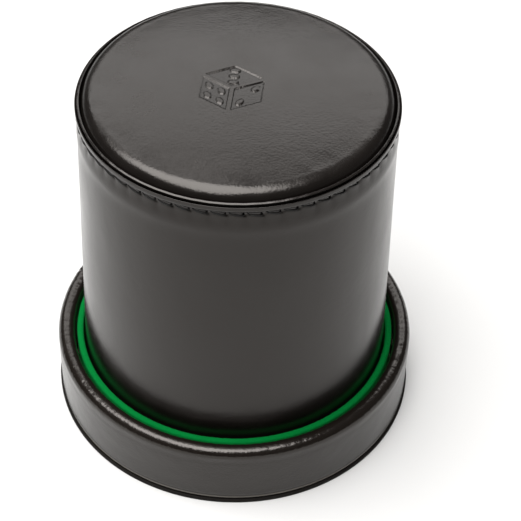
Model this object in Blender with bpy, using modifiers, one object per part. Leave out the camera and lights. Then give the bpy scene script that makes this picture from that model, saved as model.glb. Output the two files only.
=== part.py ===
"""Leather dice cup standing mouth down in its padded leather tray.

Metres, +Z up. The origin is on the table at the middle of the tray's underside, and the front is
towards -Y. Every piece is turned about Z, apart from the two rows of stitching. The cup's mouth
faces down into the tray and its padded base faces up. Pieces that are glued or sewn together keep
a thin gap between them, because each one is a solid of its own.
"""

import bpy
from math import cos, pi, radians, sin

MM = 0.001
SEGMENTS = 40
MERGE = 0.00001
GAP = 0.3 * MM

# tray, from the table up
TRAY_RADIUS = 52.0 * MM
COVER_RADIUS = 52.5 * MM
COVER_TOP = 1.1 * MM
COVER_EDGE = 0.2 * MM
TRAY_LEATHER = 0.8 * MM
TRAY_HEM_WIDTH = 2.6 * MM
TRAY_HEM_THICKNESS = 0.6 * MM
TRAY_FOLD = 0.6 * MM
FLOOR_BOARD_TOP = 3.5 * MM
FLOOR_FELT_TOP = 5.0 * MM
ROLL_RADIUS = 2.4 * MM
ROLL_HEIGHT = 18.6 * MM
ROLL_CENTRE = TRAY_RADIUS - ROLL_RADIUS
INNER_LEG_FOOT = 9.0 * MM
CORE_OUTER = TRAY_RADIUS - TRAY_LEATHER - GAP
TRAY_CORE_INNER = ROLL_CENTRE - ROLL_RADIUS + TRAY_LEATHER + GAP

# felt covered ring that lines the tray and guides the cup
LINER_INNER = 44.7 * MM
LINER_OUTER = 46.6 * MM
LINER_TOP = 19.4 * MM
LINER_TURNOVER_FOOT = 9.0 * MM
LINER_FELT = 0.5 * MM
LINER_CARD_GAP = 0.2 * MM
LINER_CARD_DROP = 0.5 * MM
LINER_SHOULDER = 0.7 * MM

# cup wall: it flares a little from the base down to the mouth
MOUTH_HEIGHT = FLOOR_FELT_TOP + GAP
FLARE_END = LINER_TOP
MOUTH_RADIUS = 44.14 * MM
BASE_RADIUS = 42.3 * MM
WALL_TOP = 97.0 * MM
WALL_LEATHER = 1.0 * MM
WALL_CORE = 2.0 * MM
LINING_FELT = 1.2 * MM
CORE_TOP = 98.0 * MM
CORE_FOOT = MOUTH_HEIGHT + 1.1 * MM
CORE_FOOT_INSET = 0.2 * MM
FACING_HEIGHT = 19.8 * MM
FACING_LEATHER = 0.8 * MM
FACING_ROUND = 0.5 * MM

# rim round the base: wall leather and an inner facing, sewn together
RIM_TOP = 104.43 * MM
RIM_HEM_TOP = 103.65 * MM
RIM_RADIUS = 42.6 * MM
RIM_STITCH_HEIGHT = 101.2 * MM
RIM_GROOVE_RADIUS = 42.05 * MM
RIM_LEATHER = 0.5 * MM
RIM_HEM_INNER = 42.0 * MM
RIM_ROUND = 0.15 * MM
LIP_OUTER = 41.93 * MM
LIP_INNER = 41.47 * MM
LIP_FOOT_OUTER = 41.15 * MM
LIP_FOOT_INNER = 40.65 * MM
LIP_FOOT = 98.4 * MM
LIP_BEHIND_GROOVE = 0.2 * MM
GROOVE_HALF = 1.4 * MM
MOUTH_STITCH_HEIGHT = 8.5 * MM
MOUTH_GROOVE_RADIUS = 43.7 * MM
MOUTH_HEM = 1.15 * MM
STITCH_POINTS = 58
THREAD_RADIUS = 0.25 * MM
THREAD_CLEARANCE = 0.12 * MM
THREAD_SLANT = 0.12 * MM

# boards and felt that close the cup inside
CUP_BOARD_FOOT = 95.6 * MM
CUP_FELT_FOOT = 94.2 * MM
LINING_TOP = 93.9 * MM

# padded base
PAD_RADIUS = 40.95 * MM
PAD_FOOT = CORE_TOP + GAP
PAD_SHOULDER = 4.0 * MM
PAD_SHOULDER_HEIGHT = 102.8 * MM
PAD_SIDE_RADIUS = 40.25 * MM
PAD_SIDE_TOP = 100.5 * MM
PAD_CROWN = 1.0 * MM
PAD_LEATHER = 0.9 * MM
PAD_TURNED_IN = 36.0 * MM
PAD_HEM = 0.65 * MM
PAD_BOARD_TOP = 101.0 * MM

BLACK_LEATHER = ("black_leather", (0.022, 0.021, 0.020, 1.0), 0.42)
GREEN_FELT = ("green_felt", (0.004, 0.265, 0.060, 1.0), 0.95)
GREY_BOARD = ("grey_board", (0.230, 0.195, 0.150, 1.0), 0.85)
WHITE_FOAM = ("white_foam", (0.720, 0.700, 0.620, 1.0), 0.90)
BLACK_THREAD = ("black_thread", (0.012, 0.012, 0.012, 1.0), 0.60)


def clear_scene():
    for item in list(bpy.data.objects):
        bpy.data.objects.remove(item, do_unlink=True)


def new_collection(name):
    collection = bpy.data.collections.new(name)
    bpy.context.scene.collection.children.link(collection)
    return collection


def new_body(name, collection):
    """An empty on the lifting axis, which its pieces hang from and move with."""
    body = bpy.data.objects.new(name, None)
    collection.objects.link(body)
    return body


def new_piece(name, data, finish, body):
    piece = bpy.data.objects.new(name, data)
    body.users_collection[0].objects.link(piece)
    piece.parent = body
    data.materials.append(material(finish))
    return piece


def material(finish):
    name, colour, roughness = finish
    found = bpy.data.materials.get(name)
    if found:
        return found
    made = bpy.data.materials.new(name)
    made.use_nodes = True
    shader = made.node_tree.nodes["Principled BSDF"]
    shader.inputs["Base Color"].default_value = colour
    shader.inputs["Roughness"].default_value = roughness
    shader.inputs["Metallic"].default_value = 0.0
    made.diffuse_color = colour
    return made


def arc(radius, height, size, start, end, steps):
    """Points on a round stretch of an outline, about a centre at a radius and a height."""
    turn = (end - start) / steps
    return [
        (radius + size * cos(start + turn * i), height + size * sin(start + turn * i))
        for i in range(steps + 1)
    ]


def turned(name, outline, finish, body):
    """A solid turned about Z. Its outline runs down the outer side and back up the inner side."""
    mesh = bpy.data.meshes.new(name)
    count = len(outline)
    closed = outline[0][0] > 0.0
    edges = [(i, (i + 1) % count) for i in range(count if closed else count - 1)]
    mesh.from_pydata([(radius, 0.0, height) for radius, height in outline], edges, [])
    piece = new_piece(name, mesh, finish, body)
    screw = piece.modifiers.new("turn", "SCREW")
    screw.axis = "Z"
    screw.angle = 2.0 * pi
    screw.steps = SEGMENTS
    screw.render_steps = SEGMENTS
    screw.use_merge_vertices = True
    screw.merge_threshold = MERGE
    screw.use_smooth_shade = True


def disc(name, radius, foot, top, finish, body):
    outline = [(0.0, top), (radius, top), (radius, foot), (0.0, foot)]
    turned(name, outline, finish, body)


def ring(name, inner, outer, foot, top, finish, body):
    outline = [(outer, top), (outer, foot), (inner, foot), (inner, top)]
    turned(name, outline, finish, body)


def stitching(name, groove_radius, height, body):
    """One sewing thread that runs all round in a groove, slanting a little at every stitch."""
    curve = bpy.data.curves.new(name, "CURVE")
    curve.dimensions = "3D"
    curve.bevel_depth = THREAD_RADIUS
    curve.bevel_resolution = 1
    thread = curve.splines.new("POLY")
    thread.points.add(STITCH_POINTS - 1)
    radius = groove_radius + THREAD_RADIUS + THREAD_CLEARANCE
    for i, point in enumerate(thread.points):
        angle = 2.0 * pi * i / STITCH_POINTS
        lift = THREAD_SLANT if i % 2 else -THREAD_SLANT
        point.co = (radius * cos(angle), radius * sin(angle), height + lift, 1.0)
    thread.use_cyclic_u = True
    new_piece(name, curve, BLACK_THREAD, body)


def tray_bottom(body):
    outline = [
        (0.0, COVER_TOP),
        (COVER_RADIUS - COVER_EDGE, COVER_TOP),
        (COVER_RADIUS, COVER_TOP - COVER_EDGE),
        (COVER_RADIUS, COVER_EDGE),
        (COVER_RADIUS - COVER_EDGE, 0.0),
        (0.0, 0.0),
    ]
    turned("tray_bottom_cover", outline, BLACK_LEATHER, body)
    board_radius = TRAY_CORE_INNER - GAP
    disc("tray_floor_board", board_radius, COVER_TOP + GAP, FLOOR_BOARD_TOP, GREY_BOARD, body)
    felt_radius = LINER_INNER - GAP
    disc("tray_floor_felt", felt_radius, FLOOR_BOARD_TOP + GAP, FLOOR_FELT_TOP, GREEN_FELT, body)


def tray_wall(body):
    """Board ring, a foam cord on top of it, and one piece of leather drawn over both.

    The leather is turned in under the ring at its foot, and runs down inside the ring at its top.
    """
    foot = COVER_TOP + GAP
    hem_top = foot + TRAY_HEM_THICKNESS
    hem_inner = CORE_OUTER - TRAY_HEM_WIDTH
    skin = ROLL_RADIUS - TRAY_LEATHER
    inner_leg = ROLL_CENTRE - ROLL_RADIUS
    outline = arc(ROLL_CENTRE, ROLL_HEIGHT, ROLL_RADIUS, radians(90), 0.0, 5)
    outline += [
        (TRAY_RADIUS, foot + TRAY_FOLD),
        (TRAY_RADIUS - TRAY_FOLD, foot),
        (hem_inner, foot),
        (hem_inner, hem_top),
        (TRAY_RADIUS - TRAY_LEATHER, hem_top),
    ]
    outline += arc(ROLL_CENTRE, ROLL_HEIGHT, skin, 0.0, pi, 7)
    outline += [
        (inner_leg + TRAY_LEATHER, INNER_LEG_FOOT),
        (inner_leg, INNER_LEG_FOOT),
    ]
    outline += arc(ROLL_CENTRE, ROLL_HEIGHT, ROLL_RADIUS, pi, radians(108), 4)
    turned("tray_wall_leather", outline, BLACK_LEATHER, body)
    cord = arc(ROLL_CENTRE, ROLL_HEIGHT, skin - GAP, 2 * pi, 2 * pi / 7, 6)
    turned("tray_rim_padding", cord, WHITE_FOAM, body)
    core_top = ROLL_HEIGHT - skin
    core_foot = hem_top + GAP
    ring("tray_wall_core", TRAY_CORE_INNER, CORE_OUTER, core_foot, core_top, GREY_BOARD, body)


def tray_liner(body):
    """Card ring with felt over its top edge, standing inside the wall."""
    card_inner = LINER_INNER + LINER_FELT + LINER_CARD_GAP
    card_outer = LINER_OUTER - LINER_FELT - LINER_CARD_GAP
    card_top = LINER_TOP - LINER_FELT - LINER_CARD_DROP
    card_foot = FLOOR_BOARD_TOP + GAP
    ring("tray_liner_card", card_inner, card_outer, card_foot, card_top, GREY_BOARD, body)
    inside_top = card_top + LINER_CARD_GAP
    shoulder = LINER_TOP - LINER_SHOULDER
    felt_foot = FLOOR_FELT_TOP + GAP
    outline = [
        (LINER_INNER + 0.3 * LINER_SHOULDER, LINER_TOP - 0.35 * LINER_SHOULDER),
        (LINER_INNER + LINER_SHOULDER, LINER_TOP),
        (LINER_OUTER - LINER_SHOULDER, LINER_TOP),
        (LINER_OUTER - 0.3 * LINER_SHOULDER, LINER_TOP - 0.35 * LINER_SHOULDER),
        (LINER_OUTER, shoulder),
        (LINER_OUTER, LINER_TURNOVER_FOOT),
        (LINER_OUTER - LINER_FELT, LINER_TURNOVER_FOOT),
        (LINER_OUTER - LINER_FELT, inside_top),
        (LINER_INNER + LINER_FELT, inside_top),
        (LINER_INNER + LINER_FELT, felt_foot),
        (LINER_INNER, felt_foot),
        (LINER_INNER, shoulder),
    ]
    turned("tray_liner_felt", outline, GREEN_FELT, body)


def cup_wall(body):
    """The leather wall, with a groove for each row of stitching, and the board tube inside it."""
    mouth_inner = MOUTH_RADIUS - MOUTH_HEM
    outline = [
        (RIM_RADIUS - RIM_ROUND, RIM_HEM_TOP),
        (RIM_RADIUS, RIM_HEM_TOP - RIM_ROUND),
        (RIM_RADIUS, RIM_STITCH_HEIGHT + GROOVE_HALF),
        (RIM_GROOVE_RADIUS, RIM_STITCH_HEIGHT),
        (BASE_RADIUS, RIM_STITCH_HEIGHT - GROOVE_HALF),
        (BASE_RADIUS, WALL_TOP),
        (MOUTH_RADIUS, FLARE_END),
        (MOUTH_RADIUS, MOUTH_STITCH_HEIGHT + GROOVE_HALF),
        (MOUTH_GROOVE_RADIUS, MOUTH_STITCH_HEIGHT),
        (MOUTH_RADIUS, MOUTH_STITCH_HEIGHT - GROOVE_HALF),
        (mouth_inner + RIM_LEATHER, MOUTH_HEIGHT),
        (mouth_inner, MOUTH_HEIGHT),
        (mouth_inner, MOUTH_STITCH_HEIGHT + 2 * GROOVE_HALF),
        (MOUTH_RADIUS - WALL_LEATHER, FLARE_END),
        (BASE_RADIUS - WALL_LEATHER, WALL_TOP),
        (BASE_RADIUS - WALL_LEATHER, CORE_TOP + 2 * GAP),
        (RIM_GROOVE_RADIUS - RIM_LEATHER, RIM_STITCH_HEIGHT),
        (RIM_HEM_INNER, RIM_HEM_TOP - RIM_ROUND),
        (RIM_HEM_INNER + RIM_ROUND, RIM_HEM_TOP),
    ]
    turned("cup_wall_leather", outline, BLACK_LEATHER, body)
    outside = WALL_LEATHER + GAP
    inside = outside + WALL_CORE
    core = [
        (BASE_RADIUS - outside, CORE_TOP),
        (MOUTH_RADIUS - outside, FLARE_END),
        (mouth_inner - CORE_FOOT_INSET, CORE_FOOT),
        (MOUTH_RADIUS - inside, CORE_FOOT),
        (MOUTH_RADIUS - inside, FLARE_END),
        (BASE_RADIUS - inside, CORE_TOP),
    ]
    turned("cup_wall_core", core, GREY_BOARD, body)
    return inside


def cup_mouth(inside, body):
    """Leather facing inside the mouth, turned out under the board tube and sewn to the wall."""
    outer = MOUTH_RADIUS - inside - GAP
    inner = outer - FACING_LEATHER
    leg_outer = MOUTH_RADIUS - MOUTH_HEM - GAP
    leg_top = MOUTH_HEIGHT + FACING_LEATHER
    outline = [
        (outer, FACING_HEIGHT),
        (outer, leg_top),
        (leg_outer, leg_top),
        (leg_outer, MOUTH_HEIGHT),
        (inner + FACING_ROUND, MOUTH_HEIGHT),
        (inner, MOUTH_HEIGHT + FACING_ROUND),
        (inner, FACING_HEIGHT),
    ]
    turned("cup_mouth_facing", outline, BLACK_LEATHER, body)
    stitching("cup_mouth_stitching", MOUTH_GROOVE_RADIUS, MOUTH_STITCH_HEIGHT, body)


def cup_inside(inside, body):
    """Felt lining of the wall, and the board and felt that close the cup under its base."""
    slope = (BASE_RADIUS - MOUTH_RADIUS) / (CORE_TOP - FLARE_END)
    foot = FACING_HEIGHT + GAP
    low = MOUTH_RADIUS - inside - GAP + slope * (foot - FLARE_END)
    high = MOUTH_RADIUS - inside - GAP + slope * (LINING_TOP - FLARE_END)
    outline = [
        (high, LINING_TOP),
        (low, foot),
        (low - LINING_FELT, foot),
        (high - LINING_FELT, LINING_TOP),
    ]
    turned("cup_lining_felt", outline, GREEN_FELT, body)
    radius = BASE_RADIUS - inside - GAP
    disc("cup_floor_felt", radius, CUP_FELT_FOOT, CUP_BOARD_FOOT - GAP, GREEN_FELT, body)
    disc("cup_floor_board", radius, CUP_BOARD_FOOT, CORE_TOP, GREY_BOARD, body)


def cup_rim(body):
    """Thin leather facing that leans out behind the wall leather, and its stitching."""
    groove = RIM_GROOVE_RADIUS - RIM_LEATHER - LIP_BEHIND_GROOVE
    outline = [
        (LIP_OUTER - RIM_ROUND, RIM_TOP),
        (LIP_OUTER, RIM_TOP - RIM_ROUND),
        (groove, RIM_STITCH_HEIGHT),
        (LIP_FOOT_OUTER, LIP_FOOT),
        (LIP_FOOT_INNER, LIP_FOOT),
        (groove - RIM_LEATHER, RIM_STITCH_HEIGHT),
        (LIP_INNER, RIM_TOP - RIM_ROUND),
        (LIP_INNER + RIM_ROUND, RIM_TOP),
    ]
    turned("cup_rim_facing", outline, BLACK_LEATHER, body)
    stitching("cup_rim_stitching", RIM_GROOVE_RADIUS, RIM_STITCH_HEIGHT, body)


def crown(edge_radius, edge_height, steps):
    """A shallow dome over the pad, as points from the middle out towards its edge."""
    points = []
    for i in range(steps):
        share = i / steps
        points.append((edge_radius * share, edge_height + PAD_CROWN * (1.0 - share**2)))
    return points


def base_pad(body):
    """Leather drawn over foam and board, its edge turned in under the board."""
    centre = PAD_RADIUS - PAD_SHOULDER
    height = PAD_SHOULDER_HEIGHT
    skin = PAD_SHOULDER - PAD_LEATHER
    side_inner = PAD_SIDE_RADIUS - PAD_LEATHER
    hem_top = PAD_FOOT + PAD_HEM
    outside = crown(centre, height + PAD_SHOULDER, 3)
    outside += arc(centre, height, PAD_SHOULDER, radians(90), 0.0, 5)
    inside = arc(centre, height, skin, 0.0, radians(90), 3)
    inside += reversed(crown(centre, height + skin, 2))
    outline = outside + [
        (PAD_SIDE_RADIUS, PAD_SIDE_TOP),
        (PAD_SIDE_RADIUS, PAD_FOOT),
        (PAD_TURNED_IN, PAD_FOOT),
        (PAD_TURNED_IN, hem_top),
        (side_inner, hem_top),
        (side_inner, PAD_SIDE_TOP),
    ]
    turned("base_pad_leather", outline + inside, BLACK_LEATHER, body)
    board_radius = side_inner - GAP
    disc("base_pad_board", board_radius, hem_top + GAP, PAD_BOARD_TOP, GREY_BOARD, body)
    foam = crown(centre, height + skin - GAP, 2)
    foam += arc(centre, height, skin - GAP, radians(90), 0.0, 3)
    foam += [(board_radius, PAD_BOARD_TOP + GAP), (0.0, PAD_BOARD_TOP + GAP)]
    turned("base_pad_foam", foam, WHITE_FOAM, body)


clear_scene()
dice_cup = new_collection("dice_cup")
tray = new_body("tray", dice_cup)
tray_bottom(tray)
tray_wall(tray)
tray_liner(tray)
cup = new_body("cup", dice_cup)
core_inside = cup_wall(cup)
cup_mouth(core_inside, cup)
cup_inside(core_inside, cup)
cup_rim(cup)
base_pad(cup)
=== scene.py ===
from math import atan2, cos, exp, floor, hypot, pi, radians, sin

import bmesh
import bpy
from mathutils import Matrix, Quaternion, Vector, noise


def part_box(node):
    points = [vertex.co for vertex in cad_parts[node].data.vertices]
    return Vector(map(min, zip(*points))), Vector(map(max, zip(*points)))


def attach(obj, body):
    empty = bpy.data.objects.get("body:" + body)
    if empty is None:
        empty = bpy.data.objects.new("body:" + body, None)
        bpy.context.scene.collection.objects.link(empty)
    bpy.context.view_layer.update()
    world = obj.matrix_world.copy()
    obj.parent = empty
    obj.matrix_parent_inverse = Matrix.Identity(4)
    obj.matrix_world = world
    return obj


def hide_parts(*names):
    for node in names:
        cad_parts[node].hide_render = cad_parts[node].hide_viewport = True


# Leather dice cup standing mouth down in its padded tray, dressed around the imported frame.
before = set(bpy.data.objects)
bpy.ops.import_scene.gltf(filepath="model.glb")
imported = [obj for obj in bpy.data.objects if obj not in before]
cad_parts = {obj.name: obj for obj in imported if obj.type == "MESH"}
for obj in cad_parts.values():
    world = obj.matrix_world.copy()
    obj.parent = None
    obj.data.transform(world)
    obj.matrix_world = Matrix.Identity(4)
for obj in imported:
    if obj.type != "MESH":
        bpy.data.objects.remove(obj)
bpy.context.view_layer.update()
mm = 0.001
weldDistance = 0.000001


def hexColour(text):  # sRGB hex to the linear colour that the shaders take
    parts = [int(text[i : i + 2], 16) / 255 for i in (1, 3, 5)]
    return [p / 12.92 if p <= 0.04045 else ((p + 0.055) / 1.055) ** 2.4 for p in parts] + [1.0]


def smoothStep(low, high, value):  # 0 below low, 1 above high, and a soft rise between them
    share = min(max((value - low) / (high - low), 0.0), 1.0)
    return share * share * (3.0 - 2.0 * share)


def hump(distance, width):  # 1 in the middle, fading to nothing over about twice the width
    return exp(-((distance / width) ** 2))


def arcPoints(radius, height, size, start, end, count):  # start and end in degrees
    turn = radians(end - start) / (count - 1)
    return [
        (radius + size * cos(radians(start) + turn * i), height + size * sin(radians(start) + turn * i))
        for i in range(count)
    ]


def between(start, end, spacing):  # numbers from start to end, both included, about a spacing apart
    count = max(1, round(abs(end - start) / spacing))
    return [start + (end - start) * i / count for i in range(count + 1)]


def spinOutline(outline, steps, closed=True):  # outline points are (radius, height) in millimetres
    bm = bmesh.new()
    verts = [bm.verts.new((radius * mm, 0.0, height * mm)) for radius, height in outline]
    edges = [bm.edges.new(pair) for pair in zip(verts, verts[1:])]
    if closed:
        edges.append(bm.edges.new((verts[-1], verts[0])))
    sectors = next(n for n in range(steps // 16, 0, -1) if steps % n == 0)  # one is spun, then repeated
    bmesh.ops.spin(bm, geom=verts + edges, cent=(0, 0, 0), axis=(0, 0, 1), dvec=(0, 0, 0),
                   angle=2 * pi / sectors, steps=steps // sectors, use_duplicate=False)
    sector = bm.verts[:] + bm.edges[:] + bm.faces[:]
    for turn in range(1, sectors):
        copied = bmesh.ops.duplicate(bm, geom=sector)["geom"]
        corners = [v for v in copied if isinstance(v, bmesh.types.BMVert)]
        bmesh.ops.rotate(bm, verts=corners, cent=(0, 0, 0),
                         matrix=Matrix.Rotation(2 * pi * turn / sectors, 3, "Z"))
    bmesh.ops.remove_doubles(bm, verts=bm.verts, dist=weldDistance)
    bmesh.ops.recalc_face_normals(bm, faces=bm.faces)
    return bm


def mould(bm, move):  # move takes (angle, radius, height) and gives the new radius and height
    for v in bm.verts:
        radius, height = hypot(v.co.x, v.co.y) / mm, v.co.z / mm
        if radius > 0.01:
            angle = atan2(v.co.y, v.co.x) % (2 * pi)
            newRadius, newHeight = move(angle, radius, height)
            v.co = (newRadius * cos(angle) * mm, newRadius * sin(angle) * mm, newHeight * mm)


seedStep = (7.3, 3.1, 5.7)


def ruffle(angle, radius, height, size, seed):  # smooth unevenness from -1 to 1, with lumps of a size in mm
    place = Vector((radius * cos(angle), radius * sin(angle), height)) / size
    return noise.noise(place + Vector([seed * step for step in seedStep]))


def addPiece(name, bm, finish, body, slotName, *nodes):
    mesh = bpy.data.meshes.new(name)
    bm.to_mesh(mesh)
    bm.free()
    mesh.shade_smooth()
    mesh.materials.append(finish)
    piece = bpy.data.objects.new(name, mesh)
    bpy.context.scene.collection.objects.link(piece)
    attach(piece, body)
    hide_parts(*nodes)
    return piece


def addNode(tree, kind, settings=None, links=None):
    node = tree.nodes.new(kind)
    for key, value in (settings or {}).items():
        if isinstance(key, str) and hasattr(node, key):
            setattr(node, key, value)
        else:
            node.inputs[key].default_value = value
    for key, source in (links or {}).items():
        tree.links.new(source, node.inputs[key])
    return node


def newMaterial(name, gloss):  # gloss holds the values that are the same all over the surface
    material = bpy.data.materials.new(name)
    material.use_nodes = True
    shader = material.node_tree.nodes["Principled BSDF"]
    for key, value in gloss.items():
        shader.inputs[key].default_value = value
    return material, material.node_tree, shader


leatherLook = {
    "dark": "#0c0a09", "light": "#14110f",
    "glint": "#fff8f2",    # a slightly warm highlight
    "smooth": 0.17, "rough": 0.26,
    "shine": 0.39, "ior": 1.5,
    "cloud": 17.0,         # millimetres, as the next ones
    "pebble": 0.62, "pebbleDepth": 0.013,
    "crease": 2.6, "creaseDepth": 0.034,
    "pore": 0.33, "poreShare": 0.4,  # the pores' depth as a share of the pebble's
    "marks": {},           # vertex attributes for where it was pressed or gathered, or carries a painted highlight, and their colours
}
# the tray's light grey fold colour is a painted highlight, a bright line along its folded bottom edge
trayLook = dict(leatherLook, rough=0.27, shine=0.48, pebbleDepth=0.032, creaseDepth=0.046,
                marks={"gathered": "#16120f", "foldHighlight": "#5c5852"})
padLook = dict(leatherLook, smooth=0.20, rough=0.29, pebbleDepth=0.030, marks={"stamp": "#0a0807"})
coverLook = dict(leatherLook, shine=0.12, smooth=0.5, rough=0.65)


def makeLeather(name, look):
    # Polyurethane coated artificial leather, embossed with a fine pebble and drawn over board: a nearly black
    # brown with a broad soft shine, a little clouded, that breaks up over the pebble and the drawing creases.
    material, tree, shader = newMaterial(name, {"IOR": look["ior"], "Specular IOR Level": look["shine"],
                                                "Metallic": 0.0, "Specular Tint": hexColour(look["glint"])})
    place = addNode(tree, "ShaderNodeTexCoord").outputs["Object"]
    cloud = addNode(tree, "ShaderNodeTexNoise", {"Scale": 1 / (look["cloud"] * mm), "Detail": 4.0,
                                                 "Roughness": 0.6}, {"Vector": place})
    tint = addNode(tree, "ShaderNodeMix", {"data_type": "RGBA", 6: hexColour(look["dark"]),
                                           7: hexColour(look["light"])}, {0: cloud.outputs["Fac"]})
    colour = tint.outputs[2]
    sheen = addNode(tree, "ShaderNodeMapRange", {"From Min": 0.3, "From Max": 0.7, "To Min": look["smooth"],
                                                 "To Max": look["rough"]}, {"Value": cloud.outputs["Fac"]})
    for attribute, changed in look["marks"].items():
        mark = addNode(tree, "ShaderNodeAttribute", {"attribute_name": attribute})
        marked = addNode(tree, "ShaderNodeMix", {"data_type": "RGBA", 7: hexColour(changed)},
                         {0: mark.outputs["Fac"], 6: colour})
        colour = marked.outputs[2]
    tree.links.new(colour, shader.inputs["Base Color"])
    tree.links.new(sheen.outputs["Result"], shader.inputs["Roughness"])
    crease = addNode(tree, "ShaderNodeTexNoise", {"Scale": 1 / (look["crease"] * mm), "Detail": 5.0,
                                                  "Roughness": 0.62, "Distortion": 0.5}, {"Vector": place})
    pebble = addNode(tree, "ShaderNodeTexVoronoi", {"feature": "SMOOTH_F1", "Scale": 1 / (look["pebble"] * mm),
                                                    "Smoothness": 0.6, "Randomness": 0.9}, {"Vector": place})
    pore = addNode(tree, "ShaderNodeTexNoise", {"Scale": 1 / (look["pore"] * mm), "Detail": 2.0},
                   {"Vector": place})
    low = addNode(tree, "ShaderNodeBump", {"Strength": 1.0, "Distance": look["creaseDepth"] * mm},
                  {"Height": crease.outputs["Fac"]})
    mid = addNode(tree, "ShaderNodeBump", {"Strength": 1.0, "Distance": look["pebbleDepth"] * mm, "invert": True},
                  {"Height": pebble.outputs["Distance"], "Normal": low.outputs["Normal"]})
    fine = addNode(tree, "ShaderNodeBump", {"Strength": 0.6,
                                            "Distance": look["poreShare"] * look["pebbleDepth"] * mm},
                   {"Height": pore.outputs["Fac"], "Normal": mid.outputs["Normal"]})
    tree.links.new(fine.outputs["Normal"], shader.inputs["Normal"])
    return material


feltLook = {
    "deep": "#015c25", "bright": "#037431", "loose": "#0b8f42",
    "glow": "#2fc46a", "glowWeight": 0.12,
    "shine": 0.04,
    "tuft": 0.9, "tuftDepth": 0.12,    # millimetres, as the next ones
    "fibre": 0.16, "fibreDepth": 0.10,
}


def makeFelt(name, look):
    # Pressed craft felt, dyed green: no shine at all, a soft glow at glancing angles, and short tangled
    # fibres in slightly lighter and darker tufts.
    material, tree, shader = newMaterial(name, {"Roughness": 1.0, "Specular IOR Level": look["shine"],
                                                "Sheen Weight": look["glowWeight"], "Sheen Roughness": 0.6,
                                                "Sheen Tint": hexColour(look["glow"])})
    place = addNode(tree, "ShaderNodeTexCoord").outputs["Object"]
    tuft = addNode(tree, "ShaderNodeTexNoise", {"Scale": 1 / (look["tuft"] * mm), "Detail": 4.0,
                                                "Distortion": 1.2}, {"Vector": place})
    fibre = addNode(tree, "ShaderNodeTexNoise", {"Scale": 1 / (look["fibre"] * mm), "Detail": 3.0,
                                                 "Distortion": 2.5}, {"Vector": place})
    body = addNode(tree, "ShaderNodeMix", {"data_type": "RGBA", 6: hexColour(look["deep"]),
                                           7: hexColour(look["bright"])}, {0: tuft.outputs["Fac"]})
    strand = addNode(tree, "ShaderNodeMapRange", {"From Min": 0.58, "From Max": 0.78, "To Max": 0.5},
                     {"Value": fibre.outputs["Fac"]})
    colour = addNode(tree, "ShaderNodeMix", {"data_type": "RGBA", 7: hexColour(look["loose"])},
                     {0: strand.outputs["Result"], 6: body.outputs[2]})
    tree.links.new(colour.outputs[2], shader.inputs["Base Color"])
    nap = addNode(tree, "ShaderNodeBump", {"Strength": 0.8, "Distance": look["tuftDepth"] * mm},
                  {"Height": tuft.outputs["Fac"]})
    fuzz = addNode(tree, "ShaderNodeBump", {"Strength": 0.8, "Distance": look["fibreDepth"] * mm},
                   {"Height": fibre.outputs["Fac"], "Normal": nap.outputs["Normal"]})
    tree.links.new(fuzz.outputs["Normal"], shader.inputs["Normal"])
    return material


def followPattern(material, pattern, look):  # colour, dullness and relief all follow one pattern
    tree = material.node_tree
    shader = tree.nodes["Principled BSDF"]
    tint = addNode(tree, "ShaderNodeMix", {"data_type": "RGBA", 6: hexColour(look["dark"]),
                                           7: hexColour(look["light"])}, {0: pattern})
    dull = addNode(tree, "ShaderNodeMapRange", {"To Min": look["smooth"], "To Max": look["rough"]},
                   {"Value": pattern})
    relief = addNode(tree, "ShaderNodeBump", {"Strength": look["relief"], "Distance": look["depth"] * mm},
                     {"Height": pattern})
    tree.links.new(tint.outputs[2], shader.inputs["Base Color"])
    tree.links.new(dull.outputs["Result"], shader.inputs["Roughness"])
    tree.links.new(relief.outputs["Normal"], shader.inputs["Normal"])
    return material


# size is the pattern's own size and depth its relief, both in millimetres
threadLook = {"dark": "#060505", "light": "#12100f", "smooth": 0.45, "rough": 0.65, "shine": 0.25,
              "size": 0.12, "depth": 0.03, "relief": 0.7}
boardLook = {"dark": "#7d7466", "light": "#a79c8a", "smooth": 0.82, "rough": 0.95, "shine": 0.25,
             "size": 1.4, "depth": 0.06, "relief": 0.6, "flatten": 3.5}
cardLook = dict(boardLook, dark="#8f8778", light="#b8ae9c")
foamLook = {"dark": "#b9ad8c", "light": "#efe6cc", "smooth": 0.85, "rough": 0.97, "shine": 0.2,
            "size": 0.7, "depth": 0.2, "relief": 0.9}


def makeThread(name, look):
    # Bonded black polyester sewing thread: waxy, with a soft glint along each turned ply.
    material, tree, shader = newMaterial(name, {"Specular IOR Level": look["shine"]})
    place = addNode(tree, "ShaderNodeTexCoord").outputs["Object"]
    ply = addNode(tree, "ShaderNodeTexNoise", {"Scale": 1 / (look["size"] * mm), "Detail": 3.0},
                  {"Vector": place})
    return followPattern(material, ply.outputs["Fac"], look)


def makeBoard(name, look):
    # Grey board pressed from waste paper: matt, flecked, with short fibres lying in the sheet.
    material, tree, shader = newMaterial(name, {"Specular IOR Level": look["shine"]})
    place = addNode(tree, "ShaderNodeTexCoord").outputs["Object"]
    flat = addNode(tree, "ShaderNodeMapping", {"Scale": (1.0, 1.0, look["flatten"])}, {"Vector": place})
    fleck = addNode(tree, "ShaderNodeTexNoise", {"Scale": 1 / (look["size"] * mm), "Detail": 6.0,
                                                 "Roughness": 0.7}, {"Vector": flat.outputs["Vector"]})
    return followPattern(material, fleck.outputs["Fac"], look)


def makeFoam(name, look):
    # Open cell upholstery foam: cream, dull, and pitted all over with small round cells.
    material, tree, shader = newMaterial(name, {"Specular IOR Level": look["shine"]})
    place = addNode(tree, "ShaderNodeTexCoord").outputs["Object"]
    cell = addNode(tree, "ShaderNodeTexVoronoi", {"Scale": 1 / (look["size"] * mm)}, {"Vector": place})
    return followPattern(material, cell.outputs["Distance"], look)


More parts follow.
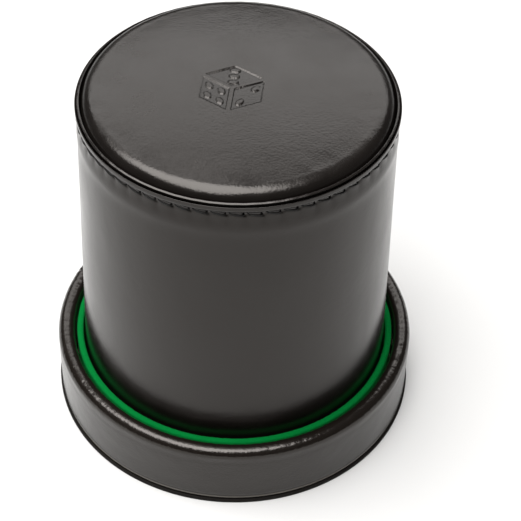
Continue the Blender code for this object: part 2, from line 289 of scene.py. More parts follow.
cupLeather = makeLeather("pebbled_artificial_leather", leatherLook)
trayLeather = makeLeather("gathered_artificial_leather", trayLook)
padLeather = makeLeather("stretched_artificial_leather", padLook)
coverLeather = makeLeather("matt_underside_leather", coverLook)
greenFelt = makeFelt("pressed_green_felt", feltLook)
sewingThread = makeThread("bonded_polyester_thread", threadLook)
greyBoard = makeBoard("pressed_grey_board", boardLook)
linerCard = makeBoard("smooth_liner_card", cardLook)
padFoam = makeFoam("open_cell_foam", foamLook)
print("materials made")


rimSeam = {"stitches": 58, "radius": 42.3, "height": 101.2, "groove": 42.05, "seed": 1.0}
mouthSeam = {"stitches": 58, "radius": 44.14, "height": 8.5, "groove": 43.72, "seed": 2.0}
sewing = {
    "slant": 0.40,        # how far each stitch rises and falls from the middle of the row
    "start": 0.05, "span": 0.90,      # as shares of the pitch
    "threadRadius": 0.25, "threadSides": 8, "threadCuts": 9,
    "threadEnd": 0.72, "threadSwell": 0.28,  # thinner at its ends, full in the middle
    "twist": 9.0, "twistDepth": 0.13,
    "dip": 0.75,          # how deep the ends go into the needle holes
    "valleyDepth": 0.20, "valleyWidth": 0.44,
    "holeDepth": 0.26, "holeWidth": 0.50, "holeHeight": 0.55,
    "pullLength": 4.6,    # how far below the row the leather is still drawn in
    "pullDepth": 0.17, "pullWidth": 0.8, "pullSpread": 0.12,
    "hemLength": 1.8, "hemDepth": 0.10, "hemWidth": 0.7,     # the same above the row
    "unevenness": 0.22,   # of the height of the stitches
    "depthVary": 0.8, "threadVary": 0.25,
}


def stitchVary(row, index, seed):  # each stitch differs a little from the next
    return noise.noise(Vector((index % row["stitches"] * 1.37, row["seed"] * 9.1, seed * 4.7)))


def sewnDent(row, angle, height):  # how far, in mm, the thread pulls the leather in at this place
    turns = angle / (2 * pi) * row["stitches"]
    along = turns - floor(turns)
    nearest = floor(turns + 0.5)
    toHole = (turns - nearest) * 2 * pi * row["radius"] / row["stitches"]
    vary = 1.0 + sewing["depthVary"] * stitchVary(row, nearest, 1.0)
    lift = sewing["unevenness"] * stitchVary(row, floor(turns), 2.0)
    level = row["height"] + sewing["slant"] * (1 - 2 * along) + lift
    depth = sewing["valleyDepth"] * hump(height - level, sewing["valleyWidth"])
    hole = hump(toHole, sewing["holeWidth"]) * hump(height - row["height"], sewing["holeHeight"])
    depth += vary * sewing["holeDepth"] * hole
    below = row["height"] - height
    if below > 0:
        fade = 1.0 - smoothStep(0.0, sewing["pullLength"], below)
        pull = hump(toHole, sewing["pullWidth"] + sewing["pullSpread"] * below)
        return depth + vary * sewing["pullDepth"] * fade * pull
    fade = 1.0 - smoothStep(0.0, sewing["hemLength"], -below)
    return depth + vary * sewing["hemDepth"] * fade * hump(toHole, sewing["hemWidth"])


def sewRow(name, row, node):  # one short twisted thread in every stitch, its ends down in the needle holes
    straight = bmesh.new()
    bmesh.ops.create_cone(straight, cap_ends=True, segments=sewing["threadSides"], radius1=1.0, radius2=1.0,
                          depth=1.0)
    longEdges = [e for e in straight.edges if abs(e.verts[0].co.z - e.verts[1].co.z) > 0.5]
    bmesh.ops.subdivide_edges(straight, edges=longEdges, cuts=sewing["threadCuts"])
    form = bpy.data.meshes.new("straightStitch")
    straight.to_mesh(form)
    straight.free()
    bm = bmesh.new()
    for index in range(row["stitches"]):
        first = len(bm.verts)
        bm.from_mesh(form)
        bm.verts.ensure_lookup_table()
        lift = sewing["unevenness"] * stitchVary(row, index, 2.0)
        thick = 1.0 + sewing["threadVary"] * stitchVary(row, index, 3.0)
        for v in bm.verts[first:]:
            share = v.co.z + 0.5
            turn = atan2(v.co.y, v.co.x)
            ply = cos(2 * turn - sewing["twist"] * share)
            size = sewing["threadRadius"] * thick * (1.0 + sewing["twistDepth"] * ply)
            size *= sewing["threadEnd"] + sewing["threadSwell"] * max(sin(pi * share), 0.0) ** 0.5
            rise = 1.0 - abs(2 * share - 1) ** 5
            sunk = sewing["dip"] * (1 - rise)
            radius = row["groove"] + sewing["threadRadius"] - sunk + size * cos(turn)
            height = row["height"] + sewing["slant"] * (1 - 2 * share) + lift + size * sin(turn)
            angle = 2 * pi * (index + sewing["start"] + sewing["span"] * share) / row["stitches"]
            v.co = (radius * cos(angle) * mm, radius * sin(angle) * mm, height * mm)
    bpy.data.meshes.remove(form)
    bmesh.ops.recalc_face_normals(bm, faces=bm.faces)
    return addPiece(name, bm, sewingThread, "cup", "thread", node)


def nodeSize(node):  # outer radius, foot and top of a node, in millimetres
    low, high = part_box(node)
    return high.x / mm, low.z / mm, high.z / mm


wallWide, wallFoot, wallTop = nodeSize("cup_wall_leather")

cupWall = {
    "steps": 696,          # twelve columns to a stitch
    "leather": 1.0,
    "rimRadius": 42.6,
    "baseRadius": 42.3,
    "baseHeight": 97.0,
    "flareEnd": 19.4,
    "hemInner": 42.0, "hemStep": (0.2, 1.3),  # above the stitches the leather is double
    "hemRound": 0.10, "hemSlope": 0.40,  # the cut edge is pared down towards the lip
    "hemFoot": 98.6, "hemBehind": 0.75,
    "mouthHem": 1.15, "mouthHemTop": 14.1,
    "recess": 0.30, "recessCurve": 1.4,  # how far the stitches draw the whole wall in
    "recessFoot": 95.2,
    "leastRadius": 41.66,  # the wall leather never goes further in than this
    "bulge": 0.20, "bulgeWidth": 2.3,    # the soft swelling where the turned hem ends
    "bulgeHeight": 96.2,
    "wander": 0.07, "wanderLump": 14.0,  # unevenness of the drawn leather
    "dimple": 0.03, "dimpleLump": 5.0,
    "quietFoot": 12, "quietRim": (88, 103), "quietShare": 0.6,  # it is held more evenly at its ends
    "rimZone": 92, "mouthZone": 12,      # the heights past which the stitches reach
    "seamDepth": 0.30, "seamWidth": 0.32,  # upright butt seam at the back
    "seamLip": 0.10, "seamLipPlace": 0.9, "seamLipWidth": 0.8,
    "rows": [(92.4, 88.0, 0.9), (86.0, 19.4, 3.5), (18.0, 11.0, 1.4), (10.6, 6.4, 0.3)],
}


def wallRadius(height):  # the flare of the wall, with the hem's double thickness above the stitches
    part = cupWall
    share = (part["baseHeight"] - height) / (part["baseHeight"] - part["flareEnd"])
    radius = part["baseRadius"] + (wallWide - part["baseRadius"]) * min(max(share, 0.0), 1.0)
    doubled = smoothStep(*part["hemStep"], height - rimSeam["height"])
    radius += (part["rimRadius"] - part["baseRadius"]) * doubled
    if height > part["recessFoot"]:
        drawn = min((height - part["recessFoot"]) / (rimSeam["height"] - part["recessFoot"]), 1.0)
        radius -= part["recess"] * drawn ** part["recessCurve"] * (1.0 - doubled)
    return radius + part["bulge"] * hump(height - part["bulgeHeight"], part["bulgeWidth"])


def mouldWall(angle, radius, height):
    part = cupWall
    if radius < wallRadius(height) - 0.45 * part["leather"]:  # the inner side stays as it is
        return radius, height
    if height > part["rimZone"]:
        radius = max(radius - sewnDent(rimSeam, angle, height), part["leastRadius"])
    if height < part["mouthZone"]:
        radius -= sewnDent(mouthSeam, angle, height)
    fade = smoothStep(wallFoot, wallFoot + part["quietFoot"], height)
    fade *= 1.0 - smoothStep(*part["quietRim"], height) * part["quietShare"]
    radius += part["wander"] * fade * ruffle(angle, radius, height * 0.7, part["wanderLump"], 1.0)
    radius += part["dimple"] * fade * ruffle(angle, radius, height * 0.6, part["dimpleLump"], 2.0)
    fromSeam = (angle - pi / 2) * radius
    radius -= part["seamDepth"] * hump(fromSeam, part["seamWidth"])
    radius += part["seamLip"] * hump(abs(fromSeam) - part["seamLipPlace"], part["seamLipWidth"])
    return radius, height


def makeCupWall():
    part = cupWall
    hem, pared, turn = part["hemRound"], wallTop - part["hemSlope"], part["mouthHem"] / 2
    behind = part["baseRadius"] - part["leather"]
    outline = [(part["hemInner"], pared - 0.15), (part["hemInner"] + 0.1, pared)]
    outline += arcPoints(part["rimRadius"] - hem, wallTop - hem, hem, 120, 0, 5)
    for row in [(wallTop - hem - 0.2, 93.0, 0.3)] + part["rows"]:  # start, end and spacing
        outline += [(wallRadius(height), height) for height in between(*row)]
    outline += arcPoints(wallWide - turn, wallFoot + turn, turn, 0, -180, 9)
    outline += [(wallWide - part["mouthHem"], part["mouthHemTop"]), (wallWide - part["leather"], part["flareEnd"]),
                (behind, part["baseHeight"]), (behind, part["hemFoot"]),
                (part["baseRadius"] - part["hemBehind"], rimSeam["height"])]
    bm = spinOutline(outline, part["steps"])
    mould(bm, mouldWall)
    return addPiece("cupWallLeather", bm, cupLeather, "cup", "leather", "cup_wall_leather")


lip = {
    "steps": 464,
    "outer": 41.92, "inner": 41.46,
    "bead": 0.07,         # the folded edge is a little fuller than the strip
    "edgeRound": 0.13, "edgeDrop": 0.15,  # its top leans outwards
    "outerSide": [(0.9, 0.03), (1.9, 0.22)], "innerSide": [(1.9, 0.35), (0.9, 0.04)],  # down and inwards
    "waist": 41.35,       # outer radius behind the stitches
    "ankle": (41.28, 100.0),
    "footOuter": 41.15, "footInner": 40.65,
    "leather": 0.5,
    "wander": 0.035, "wanderLumps": (6.0, 9.0),
    "scallop": 0.02,      # it dips a little at each needle hole
}


def makeRimLip():
    part = lip
    foot, top = nodeSize("cup_rim_facing")[1:]
    bead, corner = part["bead"], part["edgeRound"]
    outline = arcPoints(part["inner"] - bead + corner, top - corner, corner, 180, 70, 6)
    outline += arcPoints(part["outer"] + bead - corner, top - corner - part["edgeDrop"], corner, 70, -10, 6)
    outline += [(part["outer"] - inwards, top - down) for down, inwards in part["outerSide"]]
    outline += [(part["waist"], rimSeam["height"]), part["ankle"], (part["footOuter"], foot + 0.2),
                (part["footOuter"] - 0.2, foot), (part["footInner"] + 0.1, foot),
                (part["footInner"], part["ankle"][1]), (part["waist"] - part["leather"], rimSeam["height"])]
    outline += [(part["inner"] - inwards, top - down) for down, inwards in part["innerSide"]]
    bm = spinOutline(outline, part["steps"])

    def uneven(angle, radius, height):
        share = smoothStep(rimSeam["height"], top, height)
        sideLump, topLump = part["wanderLumps"]
        drawn = part["scallop"] * cos(angle * rimSeam["stitches"]) * share
        radius += part["wander"] * share * ruffle(angle, radius, 0.0, sideLump, 5.0)
        return radius, height + (part["wander"] * ruffle(angle, radius, 0.0, topLump, 6.0) - drawn) * share

    mould(bm, uneven)
    return addPiece("cupRimFacing", bm, cupLeather, "cup", "leather", "cup_rim_facing")


mouthFacing = {
    "steps": 232,
    "wall": 3.3, "gap": 0.3,   # the leather and board that it folds round, and the room it needs
    "leather": 0.8, "footLeather": 0.85,
    "foldRound": 0.6,
    "rows": (7.5, 12.0),
}


def makeMouthFacing():
    part = mouthFacing
    outer, foot, top = nodeSize("cup_mouth_facing")
    inner = wallWide - part["wall"] - part["gap"] - part["leather"]
    fold, shelf = part["foldRound"], foot + part["footLeather"]
    outline = [(inner + part["leather"], top - 0.15), (inner + part["leather"], shelf), (outer, shelf),
               (outer, foot + 0.2)]
    outline += arcPoints(inner + fold, foot + fold, fold, -90, -180, 6)
    outline += [(inner, height) for height in part["rows"]]
    outline += [(inner, top - 0.3), (inner + 0.15, top), (inner + part["leather"] - 0.15, top)]
    bm = spinOutline(outline, part["steps"])
    return addPiece("cupMouthFacing", bm, cupLeather, "cup", "leather", "cup_mouth_facing")


cupLining = {
    "steps": 240, "floorSteps": 200,
    "felt": 1.2, "edge": 0.3,  # the felt's thickness and the rounding of its cut edges
    "taperHeight": 78.6,       # the height over which the wall narrows
    "fuzz": 0.05, "tuft": 2.2,
}


def makeCupLining():
    part = cupLining
    outerFoot, foot, top = nodeSize("cup_lining_felt")
    felt, edge = part["felt"], part["edge"]
    taper = (wallWide - cupWall["baseRadius"]) * (top - foot) / part["taperHeight"]
    outline = [(outerFoot - taper, top), (outerFoot, foot + edge), (outerFoot - edge, foot),
               (outerFoot - felt + edge, foot), (outerFoot - felt, foot + edge)]
    outline += [(outerFoot - felt - taper * (height - foot) / (top - foot), height)
                for height in between(foot + 3.0, top, 3.0)]
    bm = spinOutline(outline, part["steps"])

    def nap(angle, radius, height):
        if radius >= outerFoot - taper - felt / 2:
            return radius, height
        return radius + part["fuzz"] * ruffle(angle, radius, height, part["tuft"], 8.0), height

    mould(bm, nap)
    addPiece("cupLiningFelt", bm, greenFelt, "cup", "felt", "cup_lining_felt")
    wide, foot, top = nodeSize("cup_floor_felt")
    outline = [(radius, top) for radius in between(0.0, wide - edge, 3.0)] + [(wide, top - edge), (wide, foot + edge)]
    outline += [(radius, foot) for radius in between(wide - edge, 0.0, 1.5)]
    bm = spinOutline(outline, part["floorSteps"], closed=False)
    return addPiece("cupFloorFelt", bm, greenFelt, "cup", "felt", "cup_floor_felt")


padWide, padFoot, padTop = nodeSize("base_pad_leather")

basePad = {
    "steps": 512,
    "shoulder": 4.0,
    "shoulderHeight": 102.8,
    "crown": 1.0,
    "sag": 0.11, "sagStart": 24.0,   # the foam gives way towards its edge
    "leather": 0.9,
    "sideRadius": 40.25, "sideTop": 100.5,
    "tuck": (0.25, 101.7),  # how far in, and at what height, the shoulder meets the side
    "turnedIn": 36.0, "hem": 0.65,
    "fineRadius": 15.5, "fineRing": 0.25,  # the stamped middle has closer rings
    "ring": 1.1, "innerRing": 5.0,
    "ripple": 0.075, "rippleReach": (12, 1), "rippleTop": 103.5,  # soft waves where it is drawn over the edge
    "rippleLumps": (7.0, 3.0),
    "cloud": 0.05, "cloudLump": 22.0,
}
padCloth = {
    "steps": 96, "ring": 1.2, "uneven": 0.04, "lump": 9, "voxel": 1.5,
    "pressure": 4.0, "frames": 20,
    "heldBelow": 101.4, "fade": 1.5,  # the side is glued to its board below this height
    "ringWidth": 1.4,
    "most": 0.12,          # the most that the leather swells over the foam
}
dieMark = {  # a generic die seen corner on, stamped into the leather
    "centre": (-1.7, -1.2), "turn": -6.0, "side": 9.9,
    "edgeGap": 0.55, "depth": 0.30, "slope": 0.20,
    "pip": 0.105, "pipSquash": 0.9,
}
diePips = {  # each face has its two edge directions, in degrees, and its pips
    "top": (30, 150, [(0.25, 0.25), (0.5, 0.5), (0.75, 0.75)]),
    "left": (150, 270, [(0.3, 0.3), (0.3, 0.7), (0.7, 0.3), (0.7, 0.7)]),
    "right": (270, 30, [(0.3, 0.7), (0.7, 0.3)]),
}


def dieStamp(x, y):  # how far down the stamp presses, from 0 to 1
    part = dieMark
    turn = radians(-part["turn"])
    x, y = x - part["centre"][0], y - part["centre"][1]
    x, y = x * cos(turn) - y * sin(turn), x * sin(turn) + y * cos(turn)
    pressed = 0.0
    for first, second, pips in diePips.values():
        ax, ay = cos(radians(first)), sin(radians(first))
        bx, by = cos(radians(second)), sin(radians(second))
        span = ax * by - ay * bx
        u, v = (x * by - y * bx) / span / part["side"], (ax * y - ay * x) / span / part["side"]
        inside = min(u, v, 1 - u, 1 - v) * part["side"] * abs(span) - part["edgeGap"]
        if inside < 0:
            continue
        nearest = min(hypot(u - pu, v - pv) for pu, pv in pips)
        around = (nearest - part["pip"]) * part["side"] * part["pipSquash"]
        pressed = max(pressed, smoothStep(0.0, part["slope"], min(inside, around)))
    return pressed


def padSag(radius):  # most just inside the shoulder, and nothing at the side
    start, edge = basePad["sagStart"], padWide - basePad["shoulder"]
    if radius < edge:
        return (max(radius - start, 0.0) / (edge - start)) ** 2
    return 1.0 - smoothStep(edge, padWide, radius)


def padOutline(part, ring):  # the outer side of the pad, from its middle to the foot of its side
    edge = padWide - part["shoulder"]
    rise = padTop - part["crown"]
    radii = [0.0, 0.5] + between(0.75, part["fineRadius"], ring)
    radii += between(part["fineRadius"] + 1.0, edge - 1.0, part["ring"])
    outline = [(radius, rise + part["crown"] * (1 - (radius / edge) ** 2)) for radius in radii]
    outline += arcPoints(edge, part["shoulderHeight"], part["shoulder"], 90, 0, 24)
    outline = [(radius, height - part["sag"] * padSag(radius)) for radius, height in outline]
    return outline + [(padWide - part["tuck"][0], part["tuck"][1]), (part["sideRadius"], part["sideTop"]),
                      (part["sideRadius"], padFoot + 0.4), (part["sideRadius"] - 0.4, padFoot)]


def swellPad(bm):  # cloth blown up over the foam gives the pad its natural crown
    part, held = padCloth, padCloth["heldBelow"]
    outline = padOutline(basePad, part["ring"]) + [(basePad["turnedIn"], padFoot), (0.0, padFoot)]
    copy = spinOutline(outline, part["steps"], closed=False)
    for v in copy.verts:
        v.co.z += part["uneven"] * mm * noise.noise(v.co / (part["lump"] * mm))
    mesh = bpy.data.meshes.new("padCloth")
    copy.to_mesh(mesh)
    copy.free()
    cloth = bpy.data.objects.new("padCloth", mesh)
    bpy.context.scene.collection.objects.link(cloth)
    remesh = cloth.modifiers.new("remesh", "REMESH")
    remesh.mode, remesh.voxel_size = "VOXEL", part["voxel"] * mm
    settled = bpy.data.meshes.new_from_object(cloth.evaluated_get(bpy.context.evaluated_depsgraph_get()))
    cloth.modifiers.clear()
    cloth.data = settled
    glued = cloth.vertex_groups.new(name="glued")
    glued.add([v.index for v in settled.vertices if v.co.z < held * mm], 1.0, "REPLACE")
    settings = cloth.modifiers.new("swell", "CLOTH").settings
    settings.use_pressure = True
    settings.uniform_pressure_force = part["pressure"]
    settings.vertex_group_mass = "glued"
    settings.effector_weights.gravity = 0.0
    rest = [v.co.copy() for v in settled.vertices]
    for step in range(part["frames"]):
        bpy.context.scene.frame_set(step + 1)
    evaluated = cloth.evaluated_get(bpy.context.evaluated_depsgraph_get())
    moves = [v.co - place for v, place in zip(evaluated.data.vertices, rest)]
    bpy.context.scene.frame_set(1)
    bpy.data.objects.remove(cloth)
    rings = {}    # the leather is drawn tight, so every ring of it swells almost evenly
    for place, move in zip(rest, moves):
        reach = hypot(place.x, place.y)
        if place.z > held * mm and reach > mm:
            outward = (move.x * place.x + move.y * place.y) / reach
            ring = floor((reach - place.z) / (part["ringWidth"] * mm))
            rings.setdefault(ring, []).append((outward, move.z))
    swell = {key: [sum(values) / len(found) for values in zip(*found)] for key, found in rings.items()}
    swell = {key: [sum(swell.get(key + step, value)[axis] for step in (-1, 0, 1)) / 3 for axis in (0, 1)]
             for key, value in swell.items()}
    scale = part["most"] * mm / max(hypot(*value) for value in swell.values())
    print("pad cloth settled,", len(rest), "points")
    still = [0.0, 0.0]
    for v in bm.verts:
        reach, height = hypot(v.co.x, v.co.y), v.co.z / mm
        if height < held:
            continue
        station = (reach - v.co.z) / (part["ringWidth"] * mm) - 0.5
        low, share = floor(station), station - floor(station)
        first, second = swell.get(low, swell.get(low + 1, still)), swell.get(low + 1, swell.get(low, still))
        outward, rise = [(a + (b - a) * share) * scale for a, b in zip(first, second)]
        fade = smoothStep(held, held + part["fade"], height)
        if reach > mm:
            v.co.x *= 1 + outward * fade / reach
            v.co.y *= 1 + outward * fade / reach
        v.co.z += rise * fade


def makeBasePad():
    part = basePad
    edge = padWide - part["shoulder"]
    skin = part["shoulder"] - part["leather"]
    inner = part["sideRadius"] - part["leather"]
    hemTop = padFoot + part["hem"]
    outline = padOutline(part, part["fineRing"])
    outline += [(part["turnedIn"], padFoot), (part["turnedIn"], hemTop), (inner, hemTop), (inner, part["sideTop"])]
    outline += arcPoints(edge, part["shoulderHeight"], skin, 0, 90, 7)
    outline += [(radius, part["shoulderHeight"] + skin + part["crown"] * (1 - (radius / edge) ** 2))
                for radius in between(edge - part["innerRing"], 0.0, part["innerRing"])]
    bm = spinOutline(outline, part["steps"], closed=False)
    swellPad(bm)
    stamp = bm.verts.layers.float.new("stamp")
    under = padTop - part["crown"] - 0.5    # everything above this is the pad's upper face
    coarse, fine = part["rippleLumps"]
    for v in bm.verts:
        x, y, z = v.co.x / mm, v.co.y / mm, v.co.z / mm
        radius, angle = hypot(x, y), atan2(y, x)
        if radius < part["fineRadius"] and z > under:
            pressed = dieStamp(x, y)
            v[stamp] = pressed
            v.co.z -= dieMark["depth"] * pressed * mm
        if z > part["sideTop"] and (radius > edge or z > under):
            drawn = smoothStep(edge - part["rippleReach"][0], edge + part["rippleReach"][1], radius)
            drawn *= smoothStep(part["sideTop"], part["rippleTop"], z)
            wave = ruffle(angle, radius, 0.0, coarse, 11.0) + 0.5 * ruffle(angle, radius, 0.0, fine, 12.0)
            v.co.z += part["ripple"] * drawn * wave * mm
            v.co.z += part["cloud"] * ruffle(angle, radius, 0.0, part["cloudLump"], 13.0) * mm
    piece = addPiece("basePadLeather", bm, padLeather, "cup", "leather", "base_pad_leather")
    return piece


trayWide, trayFoot = nodeSize("tray_wall_leather")[:2]

trayWall = {
    "steps": 900,
    "rollRadius": 2.4, "rollHeight": 18.6,
    "leather": 0.8,
    "innerFoot": 9.0,      # where the leather ends inside the wall
    "innerRows": (7.0, 13.0),
    "foldRound": 0.35,
    "hemWidth": 2.6, "hemThickness": 0.6, "hemGap": 0.3,
    "foldHighlightHeight": 2.4,     # a painted highlight colours the fold light grey below this height
    "wrinkle": 0.085, "wrinkleLength": 1.1, "wrinklePlace": (5.1, 2.2, 0.0),  # fine gathers over the roll
    "wrinkleEdge": 0.8,    # below 1 the gathers have sharper folds
    "outerShare": 0.3,     # how much of them is left on its outer side
    "lump": 0.05, "lumpSize": 3.8, "lumpPlace": (1.3, 8.2, 4.0),
    "acrossStep": 0.6,     # how fast both change from side to side of the roll
    "seatHeight": 16.9, "seatDepth": 0.04, "seatWidth": 0.5,  # the line under the foam cord
    "creaseHeight": 2.7, "creaseDepth": 0.05, "creaseWidth": 0.28,
    "wander": 0.07, "wanderLump": 11.0, "dimple": 0.025, "dimpleLump": 4.0,
    "heldFoot": 1.2,       # the leather lies still over this much of the fold
    "joint": 158, "jointDepth": 0.18, "jointWidth": 0.4,  # where the strip's ends meet, in degrees round the tray
    "jointLip": 0.05, "jointLipPlace": 1.0, "jointLipWidth": 0.7,
}
rollCentre, rollHeight = trayWide - trayWall["rollRadius"], trayWall["rollHeight"]


def rollPlace(angle, turn, size, start):  # a place round and across the roll, for its uneven filling and gathers
    place = Vector((rollCentre * cos(angle), rollCentre * sin(angle), turn * trayWall["acrossStep"]))
    return place / size + Vector(start)


def rollLump(angle, turn):  # the foam cord is a little fuller in some places
    return trayWall["lump"] * noise.noise(rollPlace(angle, turn, trayWall["lumpSize"], trayWall["lumpPlace"]))


def mouldTrayWall(angle, radius, height):
    part = trayWall
    dx, dz = radius - rollCentre, height - rollHeight
    fromJoint = ((angle - radians(part["joint"]) + pi) % (2 * pi) - pi) * rollCentre
    joint = part["jointDepth"] * hump(fromJoint, part["jointWidth"])
    joint -= part["jointLip"] * hump(abs(fromJoint) - part["jointLipPlace"], part["jointLipWidth"])
    if dz >= 0:
        size, turn = hypot(dx, dz), atan2(dz, dx)
        if size < part["rollRadius"] - 0.3:  # the side towards the foam stays as it is
            return radius, height
        inwards = 0.5 - 0.5 * cos(turn)       # the inner side is shorter, so it gathers most
        place = rollPlace(angle, turn, part["wrinkleLength"], part["wrinklePlace"])
        fold = 1 - 2 * abs(noise.noise(place)) ** part["wrinkleEdge"]
        share = smoothStep(0.0, 0.9, dz) * (part["outerShare"] + (1 - part["outerShare"]) * inwards)
        size += part["wrinkle"] * share * (fold - 0.5) + rollLump(angle, turn) - joint
        return rollCentre + size * cos(turn), rollHeight + size * sin(turn)
    if radius < trayWide - part["leather"] / 2 and height > trayFoot + 0.1:
        return radius, height
    fade = smoothStep(trayFoot, trayFoot + part["heldFoot"], height)
    radius += part["wander"] * fade * (ruffle(angle, radius, height, part["wanderLump"], 21.0) - 0.3)
    radius += part["dimple"] * fade * ruffle(angle, radius, height, part["dimpleLump"], 22.0)
    radius += rollLump(angle, 0.0) * smoothStep(-2.5, 0.0, dz)
    radius -= part["seatDepth"] * hump(height - part["seatHeight"], part["seatWidth"])
    radius -= part["creaseDepth"] * hump(height - part["creaseHeight"], part["creaseWidth"])
    return radius - joint * fade, height


def makeTrayWall():
    part = trayWall
    size, fold, thick = part["rollRadius"], part["foldRound"], part["leather"]
    inner, behind = trayWide - 2 * size, trayWide - thick
    hemTop, hemInner = trayFoot + part["hemThickness"], behind - part["hemGap"] - part["hemWidth"]
    lowRow, highRow = part["innerRows"]
    outline = arcPoints(rollCentre, rollHeight, size, 180, 0, 30)
    outline += [(trayWide, height) for height in between(rollHeight - 0.5, trayFoot + 3.9, 0.6)]
    outline += [(trayWide, height) for height in between(trayFoot + 3.5, trayFoot + fold + 0.2, 0.2)]
    outline += arcPoints(trayWide - fold, trayFoot + fold, fold, 0, -90, 8)
    outline += [(trayWide - 2.0, trayFoot), (hemInner, trayFoot), (hemInner, hemTop), (behind, hemTop),
                (behind, lowRow), (behind, highRow)]
    outline += arcPoints(rollCentre, rollHeight, size - thick, 0, 180, 12)
    outline += [(inner + thick, highRow), (inner + thick, part["innerFoot"]),
                (inner, part["innerFoot"]), (inner, highRow)]
    bm = spinOutline(outline, part["steps"])
    mould(bm, mouldTrayWall)
    gathered = bm.verts.layers.float.new("gathered")
    foldHighlight = bm.verts.layers.float.new("foldHighlight")
    for v in bm.verts:
        height = v.co.z / mm
        v[gathered] = smoothStep(rollHeight - 0.6, rollHeight + 1.0, height)
        # painted highlight: the fold below this height takes the light grey colour
        v[foldHighlight] = 1.0 - smoothStep(part["foldHighlightHeight"] - 0.4, part["foldHighlightHeight"], height)
    piece = addPiece("trayWallLeather", bm, trayLeather, "tray", "leather", "tray_wall_leather")
    return piece


trayCover = {"steps": 300, "round": 0.2}


def makeTrayCover():
    size = trayCover["round"]
    edge, foot, top = nodeSize("tray_bottom_cover")
    outline = [(radius, top) for radius in between(0.0, edge - 2 * size, 6.0)]
    outline += arcPoints(edge - size, top - size, size, 75, 0, 4)
    outline += arcPoints(edge - size, foot + size, size, 0, -90, 5)
    outline += [(radius, foot) for radius in between(edge - 2.0, 0.0, 3.0)]
    bm = spinOutline(outline, trayCover["steps"], closed=False)
    return addPiece("trayBottomCover", bm, coverLeather, "tray", "leather", "tray_bottom_cover")


liner = {
    "steps": 900,
    "inner": 44.7,
    "felt": 0.5,
    "shoulder": 0.75,
    "cardGap": 0.2,
    "cutEdge": 0.2,
    "turnover": 9.0, "outerRow": 15.0,  # how far down the felt is glued over the outer side
    "fuzz": 0.05, "tufts": (0.9, 2.6),
    "frayTop": (2.0, 0.3),  # the fuzz grows between these depths below the top
}


def makeLiner():
    part = liner
    outer, foot, top = nodeSize("tray_liner_felt")
    inner, size, cut, turnover = part["inner"], part["shoulder"], part["cutEdge"], part["turnover"]
    innerBack, outerBack = inner + part["felt"], outer - part["felt"]
    cardTop = nodeSize("tray_liner_card")[2] + part["cardGap"]
    outline = [(inner, height) for height in between(foot + cut, top - size - 0.6, 1.6)]
    outline += arcPoints(inner + size, top - size, size, 180, 90, 7)
    outline += arcPoints(outer - size, top - size, size, 90, 0, 7)
    outline += [(outer, part["outerRow"]), (outer, turnover + cut), (outer - cut, turnover),
                (outerBack, turnover), (outerBack, cardTop), (innerBack, cardTop), (innerBack, foot),
                (inner + cut, foot)]
    bm = spinOutline(outline, part["steps"])

    def nap(angle, radius, height):
        if innerBack - 0.05 <= radius <= outerBack + 0.05 and height < top - 0.5:  # the side towards the card
            return radius, height
        small, large = part["tufts"]
        rough = ruffle(angle, radius, height, small, 31.0) + 0.6 * ruffle(angle, radius, height, large, 32.0)
        height += part["fuzz"] * rough * smoothStep(top - part["frayTop"][0], top - part["frayTop"][1], height)
        side = 1.0 if radius > (inner + outer) / 2 else -1.0
        return radius + side * 0.6 * part["fuzz"] * (rough - 0.5), height

    mould(bm, nap)
    return addPiece("trayLinerFelt", bm, greenFelt, "tray", "felt", "tray_liner_felt")


trayFelt = {
    "steps": 320, "ring": 0.7, "edge": 0.3,
    "fuzz": 0.04, "tufts": (1.2, 6.0),
    "mouthRadius": 43.2, "mouthWidth": 0.8, "mouthDepth": 0.14,  # where the mouth of the cup has pressed it
}


def makeTrayFelt():
    part = trayFelt
    wide, foot, top = nodeSize("tray_floor_felt")
    edge = wide - part["edge"]
    outline = [(radius, top) for radius in between(0.0, edge, part["ring"])]
    outline += [(wide, top - part["edge"]), (wide, foot + 0.2)]
    outline += [(radius, foot) for radius in between(edge, 0.0, 6.0)]
    bm = spinOutline(outline, part["steps"], closed=False)

    def nap(angle, radius, height):
        if height < top - 0.1:
            return radius, height
        small, large = part["tufts"]
        rough = ruffle(angle, radius, height, small, 41.0) + 0.5 * ruffle(angle, radius, height, large, 42.0)
        pressed = part["mouthDepth"] * hump(radius - part["mouthRadius"], part["mouthWidth"])
        return radius, height + part["fuzz"] * (rough - 1.0) - pressed

    mould(bm, nap)
    return addPiece("trayFloorFelt", bm, greenFelt, "tray", "felt", "tray_floor_felt")


makeTrayCover()
makeTrayWall()
makeLiner()
makeTrayFelt()
print("tray made")
makeCupWall()
makeRimLip()
makeMouthFacing()
makeCupLining()
sewRow("cupRimStitching", rimSeam, "cup_rim_stitching")
sewRow("cupMouthStitching", mouthSeam, "cup_mouth_stitching")
print("cup made")
makeBasePad()
print("pad made")

carried = {  # boards, card and foam that stay as the frame has them
    "tray_floor_board": greyBoard, "tray_wall_core": greyBoard, "cup_wall_core": greyBoard,
    "cup_floor_board": greyBoard, "base_pad_board": greyBoard, "tray_liner_card": linerCard,
    "tray_rim_padding": padFoam, "base_pad_foam": padFoam,
}
for node, finish in carried.items():
    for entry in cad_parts[node].material_slots:
        entry.material = finish
print("frame nodes finished")

studio = {
    "floorSize": 6.0,
    "floor": "#cbcac8", "floorLight": "#cecdcc", "floorRough": 0.85, "floorShine": 0.2,
    "floorGlow": 0.08,     # the floor is lit a little from within, as a light table is
    "world": "#ffffff", "worldStrength": 0.07,
    "aim": (0.0, 0.0, 0.06),
}
lamps = {  # place in metres, width and depth of the soft panel, power in watts
    "keyPanel": {"place": (-0.10, -0.055, 0.55), "size": (0.6, 0.44), "power": 7.5},
    "backPanel": {"place": (0.0, 0.75, 0.68), "size": (1.4, 0.36), "power": 4.2},
}


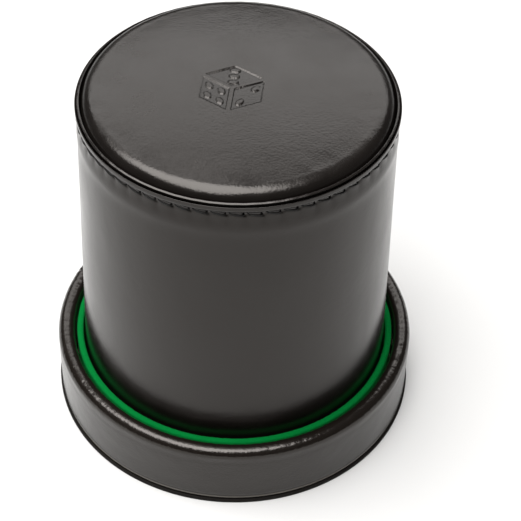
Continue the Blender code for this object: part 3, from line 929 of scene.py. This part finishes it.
def makeStudio():
    bm = bmesh.new()
    bmesh.ops.create_grid(bm, x_segments=1, y_segments=1, size=studio["floorSize"] / 2)
    mesh = bpy.data.meshes.new("studioFloor")
    bm.to_mesh(mesh)
    bm.free()
    # Matt white painted board: no gloss, so that it takes only soft shadows.
    material, tree, shader = newMaterial("painted_floor", {
        "Roughness": studio["floorRough"], "Specular IOR Level": studio["floorShine"],
        "Emission Color": hexColour("#ffffff"), "Emission Strength": studio["floorGlow"]})
    place = addNode(tree, "ShaderNodeTexCoord").outputs["Object"]
    cloud = addNode(tree, "ShaderNodeTexNoise", {"Scale": 3.0, "Detail": 2.0}, {"Vector": place})
    tint = addNode(tree, "ShaderNodeMix", {"data_type": "RGBA", 6: hexColour(studio["floor"]),
                                           7: hexColour(studio["floorLight"])}, {0: cloud.outputs["Fac"]})
    tree.links.new(tint.outputs[2], shader.inputs["Base Color"])
    mesh.materials.append(material)
    floorPiece = bpy.data.objects.new("studioFloor", mesh)
    bpy.context.scene.collection.objects.link(floorPiece)
    world = bpy.data.worlds.new("studioWorld")
    bpy.context.scene.world = world
    world.use_nodes = True
    background = world.node_tree.nodes["Background"]
    background.inputs["Color"].default_value = hexColour(studio["world"])
    background.inputs["Strength"].default_value = studio["worldStrength"]
    for name, values in lamps.items():
        light = bpy.data.lights.new(name, "AREA")
        light.shape = "RECTANGLE"
        light.size, light.size_y = values["size"]
        light.energy = values["power"]
        lamp = bpy.data.objects.new(name, light)
        bpy.context.scene.collection.objects.link(lamp)
        lamp.location = values["place"]
        aim = Vector(studio["aim"]) - lamp.location
        lamp.rotation_mode = "QUATERNION"
        lamp.rotation_quaternion = aim.to_track_quat("-Z", "Y")


view = {"lens": 110.56, "place": (0.0, -327.005, 365.14), "target": (7.07, -0.57, 45.0), "roll": 1.854}


def makeCamera():
    data = bpy.data.cameras.new("mainView")
    data.lens, data.sensor_width = view["lens"], 36.0
    data.clip_start, data.clip_end = 0.01, 20.0
    camera = bpy.data.objects.new("mainView", data)
    bpy.context.scene.collection.objects.link(camera)
    camera.location = Vector(view["place"]) * mm
    aim = (Vector(view["target"]) - Vector(view["place"])).to_track_quat("-Z", "Y")
    camera.rotation_mode = "QUATERNION"
    camera.rotation_quaternion = aim @ Quaternion((0, 0, 1), radians(view["roll"]))
    bpy.context.scene.camera = camera


makeStudio()
makeCamera()
bpy.context.scene.view_settings.view_transform = "Standard"
print("studio made")
